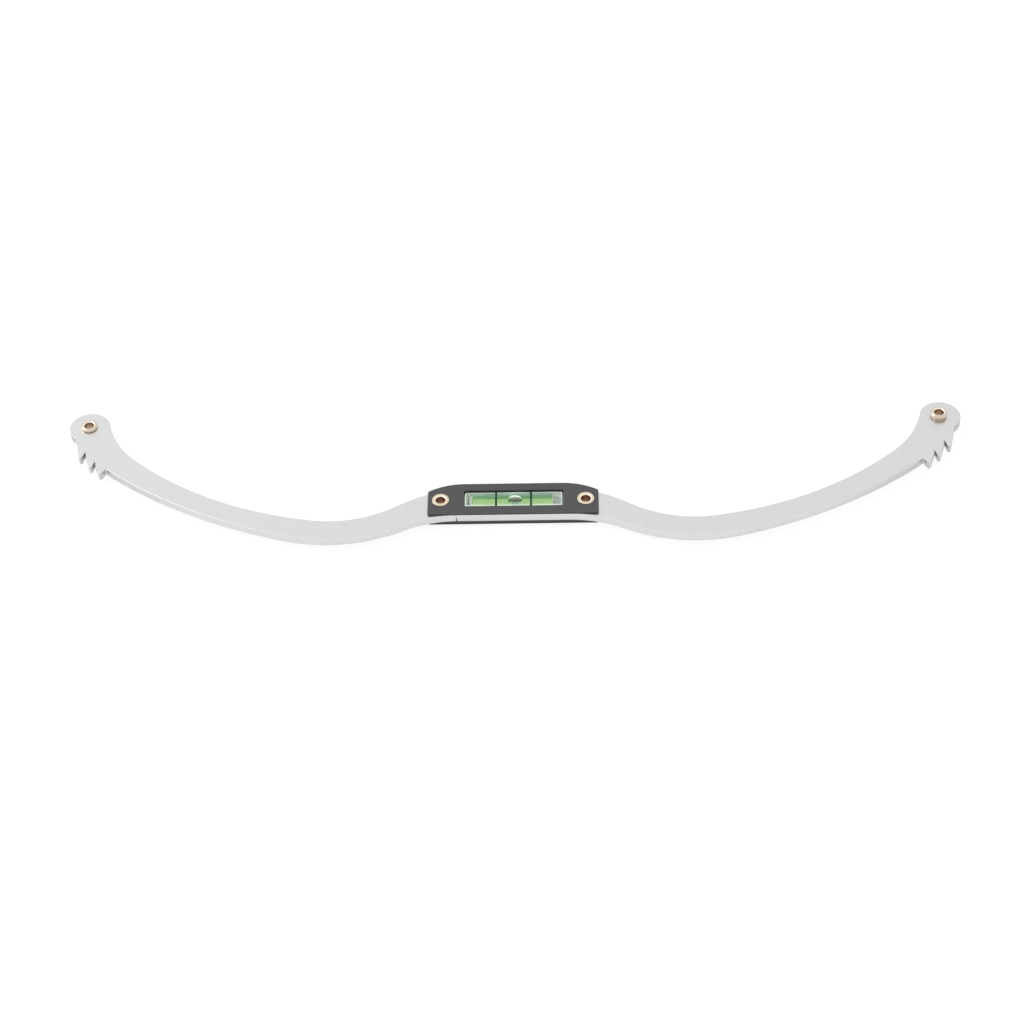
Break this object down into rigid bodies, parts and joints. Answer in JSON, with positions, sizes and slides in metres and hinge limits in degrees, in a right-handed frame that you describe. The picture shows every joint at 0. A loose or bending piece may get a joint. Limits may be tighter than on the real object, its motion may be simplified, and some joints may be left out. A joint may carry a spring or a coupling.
{
  "type": "eyebrow ruler",
  "caption": "Bow-shaped ruler for mapping eyebrows: a satin metal strip with notched ends for winding a marking thread, brass thread eyelets and a small spirit level in a dark grip.",
  "frame": {"origin": "midway between the bores of the two grip eyelets, on the surface that the ruler rests on", "axes": "+X along the bow towards the vial's plug, +Y towards the side of the raised ends, +Z out of the front grip plate"},
  "size_m": [0.2154, 0.0439, 0.0047],
  "materials": {
    "satin_sheet": "satin anodised, with cut edges",
    "grip_plate": "matt dark grey",
    "brass": "pale polished brass",
    "clear_block": "clear polished acrylic",
    "clear_plug": "clear acrylic, slightly frosted",
    "green_liquid": "clear yellow-green liquid",
    "bubble": "air",
    "gauge_line": "matt black paint"
  },
  "bodies": {
    "ruler": {"bow_frame": "satin_sheet", "front_grip_plate": "grip_plate", "back_grip_plate": "grip_plate", "left_grip_eyelet": "brass", "right_grip_eyelet": "brass", "left_string_eyelet": "brass", "right_string_eyelet": "brass", "vial_body": "clear_block", "vial_plug": "clear_plug", "vial_liquid": "green_liquid", "left_gauge_line": "gauge_line", "right_gauge_line": "gauge_line"},
    "bubble": {"vial_bubble": "bubble"}
  },
  "joints": [
    {"name": "bubble_slide", "type": "slide", "parent": "ruler", "child": "bubble", "axis": [1, 0, 0], "range_m": [-0.0087, 0.0069], "deforming": ["vial_liquid"]}
  ]
}
